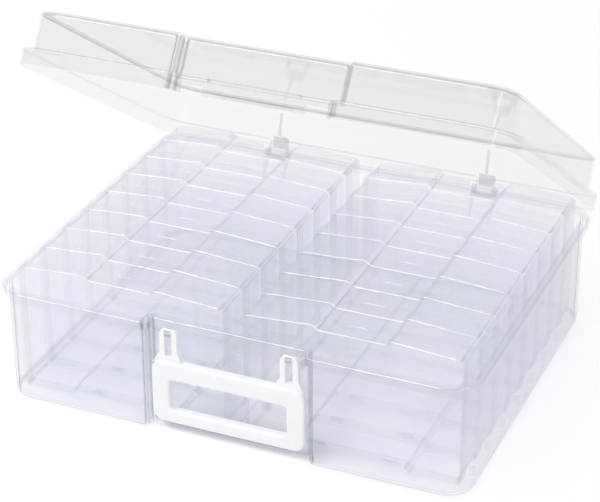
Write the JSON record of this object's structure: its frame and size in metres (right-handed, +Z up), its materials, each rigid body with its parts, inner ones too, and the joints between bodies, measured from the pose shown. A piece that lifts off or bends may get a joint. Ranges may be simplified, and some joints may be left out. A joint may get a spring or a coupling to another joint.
{
  "type": "photo keeper case",
  "caption": "Clear hinged carrying box with a white drop handle, filled with two columns of clear snap-shut cases for photographs, cards or craft parts.",
  "frame": {"origin": "middle of the tub's flat underside, on the surface that it stands on", "axes": "+X to the right along the longest side, +Y to the hinges at the back, +Z up; the handle is on -Y"},
  "size_m": [0.3852, 0.3203, 0.288],
  "materials": {
    "clear_box": "clear polypropylene, polished",
    "clear_case": "clear polypropylene, polished, thin walled",
    "white_plastic": "opaque white polypropylene, satin"
  },
  "bodies": {
    "tub": {"outer_base": "clear_box"},
    "lid": {"outer_lid": "clear_box"},
    "handle": {"carry_handle": "white_plastic"},
    "left_case_1": {"left_1_cover": "clear_case", "left_1_tray": "clear_case"},
    "left_case_2": {"left_2_cover": "clear_case", "left_2_tray": "clear_case"},
    "left_case_3": {"left_3_cover": "clear_case", "left_3_tray": "clear_case"},
    "left_case_4": {"left_4_cover": "clear_case", "left_4_tray": "clear_case"},
    "left_case_5": {"left_5_cover": "clear_case", "left_5_tray": "clear_case"},
    "left_case_6": {"left_6_cover": "clear_case", "left_6_tray": "clear_case"},
    "left_case_7": {"left_7_cover": "clear_case", "left_7_tray": "clear_case"},
    "left_case_8": {"left_8_cover": "clear_case", "left_8_tray": "clear_case"},
    "right_case_1": {"right_1_cover": "clear_case", "right_1_tray": "clear_case"},
    "right_case_2": {"right_2_cover": "clear_case", "right_2_tray": "clear_case"},
    "right_case_3": {"right_3_cover": "clear_case", "right_3_tray": "clear_case"},
    "right_case_4": {"right_4_cover": "clear_case", "right_4_tray": "clear_case"},
    "right_case_5": {"right_5_cover": "clear_case", "right_5_tray": "clear_case"},
    "right_case_6": {"right_6_cover": "clear_case", "right_6_tray": "clear_case"},
    "right_case_7": {"right_7_cover": "clear_case", "right_7_tray": "clear_case"},
    "right_case_8": {"right_8_cover": "clear_case", "right_8_tray": "clear_case"}
  },
  "joints": [
    {"name": "lid_hinge", "type": "hinge", "parent": "tub", "child": "lid", "pos_m": [0, 0.16025, 0.0846], "axis": [-1, 0, 0], "range_deg": [-34, 71]},
    {"name": "handle_pivot", "type": "hinge", "parent": "tub", "child": "handle", "pos_m": [0, -0.1393, 0.0835], "axis": [-1, 0, 0], "range_deg": [0, 95]},
    {"name": "left_case_1_lift", "type": "slide", "parent": "tub", "child": "left_case_1", "axis": [0, 0, 1], "range_m": [0, 0.1]},
    {"name": "left_case_2_lift", "type": "slide", "parent": "tub", "child": "left_case_2", "axis": [0, 0, 1], "range_m": [0, 0.1]},
    {"name": "left_case_3_lift", "type": "slide", "parent": "tub", "child": "left_case_3", "axis": [0, 0, 1], "range_m": [0, 0.1]},
    {"name": "left_case_4_lift", "type": "slide", "parent": "tub", "child": "left_case_4", "axis": [0, 0, 1], "range_m": [0, 0.1]},
    {"name": "left_case_5_lift", "type": "slide", "parent": "tub", "child": "left_case_5", "axis": [0, 0, 1], "range_m": [0, 0.1]},
    {"name": "left_case_6_lift", "type": "slide", "parent": "tub", "child": "left_case_6", "axis": [0, 0, 1], "range_m": [0, 0.077]},
    {"name": "left_case_7_lift", "type": "slide", "parent": "tub", "child": "left_case_7", "axis": [0, 0, 1], "range_m": [0, 0.054]},
    {"name": "left_case_8_lift", "type": "slide", "parent": "tub", "child": "left_case_8", "axis": [0, 0, 1], "range_m": [0, 0.031]},
    {"name": "right_case_1_lift", "type": "slide", "parent": "tub", "child": "right_case_1", "axis": [0, 0, 1], "range_m": [0, 0.1]},
    {"name": "right_case_2_lift", "type": "slide", "parent": "tub", "child": "right_case_2", "axis": [0, 0, 1], "range_m": [0, 0.1]},
    {"name": "right_case_3_lift", "type": "slide", "parent": "tub", "child": "right_case_3", "axis": [0, 0, 1], "range_m": [0, 0.1]},
    {"name": "right_case_4_lift", "type": "slide", "parent": "tub", "child": "right_case_4", "axis": [0, 0, 1], "range_m": [0, 0.1]},
    {"name": "right_case_5_lift", "type": "slide", "parent": "tub", "child": "right_case_5", "axis": [0, 0, 1], "range_m": [0, 0.1]},
    {"name": "right_case_6_lift", "type": "slide", "parent": "tub", "child": "right_case_6", "axis": [0, 0, 1], "range_m": [0, 0.077]},
    {"name": "right_case_7_lift", "type": "slide", "parent": "tub", "child": "right_case_7", "axis": [0, 0, 1], "range_m": [0, 0.054]},
    {"name": "right_case_8_lift", "type": "slide", "parent": "tub", "child": "right_case_8", "axis": [0, 0, 1], "range_m": [0, 0.031]}
  ]
}
